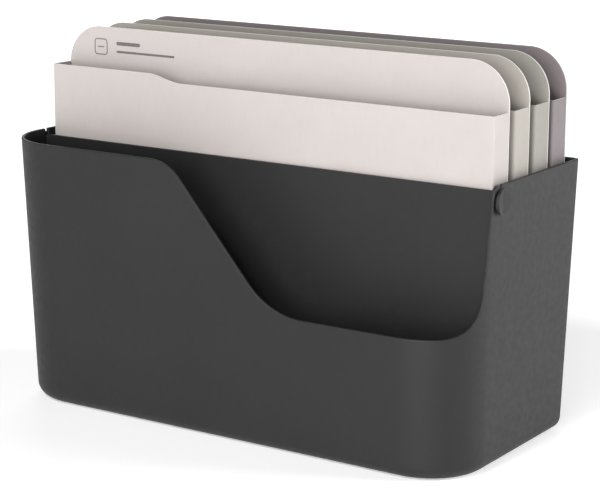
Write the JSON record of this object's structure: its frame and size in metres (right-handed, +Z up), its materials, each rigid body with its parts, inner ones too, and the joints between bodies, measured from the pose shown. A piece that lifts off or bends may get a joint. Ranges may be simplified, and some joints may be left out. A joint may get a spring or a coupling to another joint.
{
  "type": "letter tray",
  "caption": "Desktop letter tray with a swept-down front, a lift-out divider held by two button heads, and pocket folders standing behind it.",
  "frame": {"origin": "middle of the footprint, on the surface the tray stands on", "axes": "+X along the length to the user's right, +Y from the dipped front wall to the rear wall, +Z up"},
  "size_m": [0.339, 0.15, 0.2357],
  "materials": {
    "charcoal_plastic": "matte, fine moulded texture",
    "rose_sheet": "satin folder sheet",
    "sand_sheet": "satin folder sheet",
    "stone_sheet": "satin folder sheet",
    "mauve_sheet": "satin folder sheet"
  },
  "bodies": {
    "tray": {"tray_body": "charcoal_plastic"},
    "divider": {"divider_plate": "charcoal_plastic", "left_button": "charcoal_plastic", "right_button": "charcoal_plastic"},
    "rose_folder": {"rose_pocket": "rose_sheet", "rose_back_panel": "rose_sheet"},
    "sand_folder": {"sand_pocket": "sand_sheet", "sand_back_panel": "sand_sheet"},
    "stone_folder": {"stone_pocket": "stone_sheet", "stone_back_panel": "stone_sheet"},
    "mauve_folder": {"mauve_pocket": "mauve_sheet", "mauve_back_panel": "mauve_sheet"}
  },
  "joints": [
    {"name": "divider_lift", "type": "slide", "parent": "tray", "child": "divider", "axis": [0, 0, 1], "range_m": [0, 0.17]},
    {"name": "rose_folder_lift", "type": "slide", "parent": "tray", "child": "rose_folder", "axis": [0, 0, 1], "range_m": [0, 0.17]},
    {"name": "sand_folder_lift", "type": "slide", "parent": "tray", "child": "sand_folder", "axis": [0, 0, 1], "range_m": [0, 0.17]},
    {"name": "stone_folder_lift", "type": "slide", "parent": "tray", "child": "stone_folder", "axis": [0, 0, 1], "range_m": [0, 0.17]},
    {"name": "mauve_folder_lift", "type": "slide", "parent": "tray", "child": "mauve_folder", "axis": [0, 0, 1], "range_m": [0, 0.17]}
  ]
}
